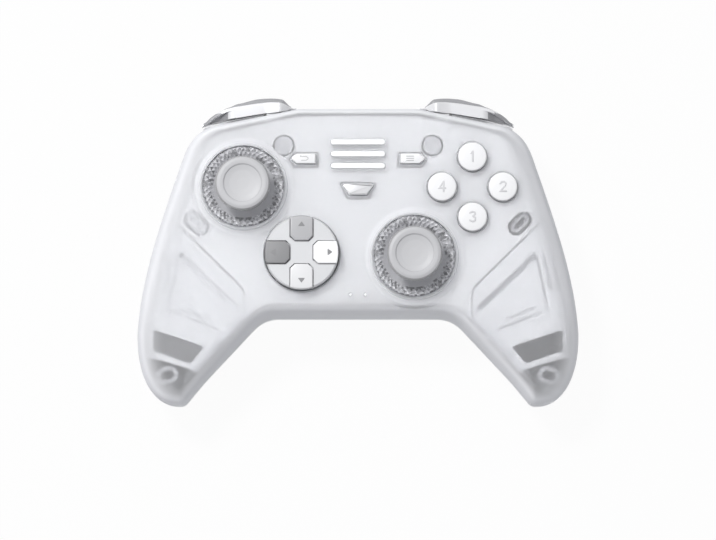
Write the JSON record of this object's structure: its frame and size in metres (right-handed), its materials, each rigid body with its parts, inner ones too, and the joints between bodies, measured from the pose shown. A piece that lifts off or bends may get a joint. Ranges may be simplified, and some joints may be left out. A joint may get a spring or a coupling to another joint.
{
  "type": "gamepad controller",
  "caption": "Two-handed gamepad with offset tilting thumb sticks, a round direction pad, face buttons, bumpers, pull triggers and a frosted two-part shell.",
  "frame": {"origin": "on the flat rear rest face, on the middle plane, level with the middle of the body", "axes": "+X to the player's right, +Y towards the bumpers and the USB socket, +Z out of the face"},
  "size_m": [0.155, 0.11, 0.0453],
  "materials": {
    "frosted_shell": "frosted, lets light through a little",
    "rear_plastic": "fine satin",
    "black_steel": "blackened",
    "grey_liner": "satin",
    "white_frame": "satin",
    "light_guide": "clear milky",
    "board": "solder mask",
    "dark_plastic": "satin",
    "battery_wrap": "film",
    "plated_steel": "plated",
    "white_button": "semi gloss",
    "silver_button": "metallic paint",
    "silver_disc": "metallic paint",
    "key_grey": "semi gloss",
    "key_white": "semi gloss",
    "key_pale": "semi gloss",
    "key_dark": "semi gloss",
    "silver_ring": "metallic paint",
    "stick_rubber": "matte",
    "silver_bumper": "metallic paint",
    "trigger_grey": "satin",
    "motor_grey": "satin",
    "weight_metal": "sintered"
  },
  "bodies": {
    "housing": {"front_shell": "frosted_shell", "rear_shell": "rear_plastic", "case_screws": "black_steel", "grip_liner_left": "grey_liner", "grip_liner_right": "grey_liner", "inner_frame": "white_frame", "light_guide": "light_guide", "status_light_pipe": "light_guide", "main_board": "board", "board_screws": "black_steel", "key_switches": "dark_plastic", "battery": "battery_wrap", "usb_socket": "plated_steel", "dpad_post": "dark_plastic", "left_stick_ring": "silver_ring", "right_stick_ring": "silver_ring", "left_stick_box": "plated_steel", "right_stick_box": "plated_steel", "bumper_pins": "plated_steel", "trigger_pins": "plated_steel", "trigger_springs": "plated_steel", "rumble_motor_left": "motor_grey", "rumble_motor_right": "motor_grey"},
    "face_button_top": {"face_button_top": "white_button"},
    "face_button_right": {"face_button_right": "white_button"},
    "face_button_bottom": {"face_button_bottom": "white_button"},
    "face_button_left": {"face_button_left": "white_button"},
    "view_button": {"view_button": "white_button"},
    "menu_button": {"menu_button": "white_button"},
    "home_button": {"home_button": "silver_button"},
    "dpad_ball": {"dpad_ball": "plated_steel"},
    "dpad": {"dpad_disc": "silver_disc", "dpad_key_up": "key_grey", "dpad_key_right": "key_white", "dpad_key_down": "key_pale", "dpad_key_left": "key_dark"},
    "left_stick_gimbal": {"left_stick_gimbal": "dark_plastic"},
    "left_stick_hub": {"left_stick_hub": "dark_plastic"},
    "left_stick": {"left_stick_shaft": "plated_steel", "left_stick_cap": "stick_rubber"},
    "right_stick_gimbal": {"right_stick_gimbal": "dark_plastic"},
    "right_stick_hub": {"right_stick_hub": "dark_plastic"},
    "right_stick": {"right_stick_shaft": "plated_steel", "right_stick_cap": "stick_rubber"},
    "bumper_left": {"bumper_left": "silver_bumper"},
    "trigger_left": {"trigger_left": "trigger_grey"},
    "rumble_weight_left": {"rumble_weight_left": "weight_metal"},
    "bumper_right": {"bumper_right": "silver_bumper"},
    "trigger_right": {"trigger_right": "trigger_grey"},
    "rumble_weight_right": {"rumble_weight_right": "weight_metal"}
  },
  "joints": [
    {"name": "face_button_top_press", "type": "slide", "parent": "housing", "child": "face_button_top", "axis": [0, 0, -1], "range_m": [0, 0.0014], "stiffness_N_per_m": 500, "springref_m": -0.0006},
    {"name": "face_button_right_press", "type": "slide", "parent": "housing", "child": "face_button_right", "axis": [0, 0, -1], "range_m": [0, 0.0014], "stiffness_N_per_m": 500, "springref_m": -0.0006},
    {"name": "face_button_bottom_press", "type": "slide", "parent": "housing", "child": "face_button_bottom", "axis": [0, 0, -1], "range_m": [0, 0.0014], "stiffness_N_per_m": 500, "springref_m": -0.0006},
    {"name": "face_button_left_press", "type": "slide", "parent": "housing", "child": "face_button_left", "axis": [0, 0, -1], "range_m": [0, 0.0014], "stiffness_N_per_m": 500, "springref_m": -0.0006},
    {"name": "view_button_press", "type": "slide", "parent": "housing", "child": "view_button", "axis": [0, 0, -1], "range_m": [0, 0.0005], "stiffness_N_per_m": 1500, "springref_m": -0.0004},
    {"name": "menu_button_press", "type": "slide", "parent": "housing", "child": "menu_button", "axis": [0, 0, -1], "range_m": [0, 0.0005], "stiffness_N_per_m": 1500, "springref_m": -0.0004},
    {"name": "home_button_press", "type": "slide", "parent": "housing", "child": "home_button", "axis": [0, 0, -1], "range_m": [0, 0.0005], "stiffness_N_per_m": 1500, "springref_m": -0.0004},
    {"name": "dpad_tilt_x", "type": "hinge", "parent": "housing", "child": "dpad_ball", "pos_m": [-0.0196, -0.002, 0.033], "axis": [1, 0, 0], "range_deg": [-6, 6], "stiffness_Nm_per_rad": 0.12},
    {"name": "dpad_tilt_y", "type": "hinge", "parent": "dpad_ball", "child": "dpad", "pos_m": [-0.0196, -0.002, 0.033], "axis": [0, 1, 0], "range_deg": [-6, 6], "stiffness_Nm_per_rad": 0.12},
    {"name": "left_stick_tilt_x", "type": "hinge", "parent": "housing", "child": "left_stick_gimbal", "pos_m": [-0.0399, 0.0213, 0.0225], "axis": [1, 0, 0], "range_deg": [-17, 17], "stiffness_Nm_per_rad": 0.03},
    {"name": "left_stick_tilt_y", "type": "hinge", "parent": "left_stick_gimbal", "child": "left_stick_hub", "pos_m": [-0.0399, 0.0213, 0.0225], "axis": [0, 1, 0], "range_deg": [-17, 17], "stiffness_Nm_per_rad": 0.03},
    {"name": "left_stick_click", "type": "slide", "parent": "left_stick_hub", "child": "left_stick", "axis": [0, 0, -1], "range_m": [0, 0.0005], "stiffness_N_per_m": 3500, "springref_m": -0.0004},
    {"name": "right_stick_tilt_x", "type": "hinge", "parent": "housing", "child": "right_stick_gimbal", "pos_m": [0.0196, -0.0031, 0.0225], "axis": [1, 0, 0], "range_deg": [-17, 17], "stiffness_Nm_per_rad": 0.03},
    {"name": "right_stick_tilt_y", "type": "hinge", "parent": "right_stick_gimbal", "child": "right_stick_hub", "pos_m": [0.0196, -0.0031, 0.0225], "axis": [0, 1, 0], "range_deg": [-17, 17], "stiffness_Nm_per_rad": 0.03},
    {"name": "right_stick_click", "type": "slide", "parent": "right_stick_hub", "child": "right_stick", "axis": [0, 0, -1], "range_m": [0, 0.0005], "stiffness_N_per_m": 3500, "springref_m": -0.0004},
    {"name": "bumper_left_press", "type": "hinge", "parent": "housing", "child": "bumper_left", "pos_m": [-0.0295, 0.0442, 0.025], "axis": [0, 0, 1], "range_deg": [0, 1.4], "stiffness_Nm_per_rad": 1.5, "springref_deg": -1.72},
    {"name": "trigger_left_pull", "type": "hinge", "parent": "housing", "child": "trigger_left", "pos_m": [-0.04, 0.0418, 0.0164], "axis": [-1, 0, 0], "range_deg": [0, 18], "stiffness_Nm_per_rad": 0.08, "springref_deg": -8.59},
    {"name": "rumble_left_spin", "type": "hinge", "parent": "housing", "child": "rumble_weight_left", "pos_m": [-0.0635, -0.016, 0.0134], "axis": [0, 1, 0], "continuous": true},
    {"name": "bumper_right_press", "type": "hinge", "parent": "housing", "child": "bumper_right", "pos_m": [0.0295, 0.0442, 0.025], "axis": [0, 0, -1], "range_deg": [0, 1.4], "stiffness_Nm_per_rad": 1.5, "springref_deg": -1.72},
    {"name": "trigger_right_pull", "type": "hinge", "parent": "housing", "child": "trigger_right", "pos_m": [0.04, 0.0418, 0.0164], "axis": [-1, 0, 0], "range_deg": [0, 18], "stiffness_Nm_per_rad": 0.08, "springref_deg": -8.59},
    {"name": "rumble_right_spin", "type": "hinge", "parent": "housing", "child": "rumble_weight_right", "pos_m": [0.0635, -0.016, 0.0134], "axis": [0, 1, 0], "continuous": true}
  ]
}
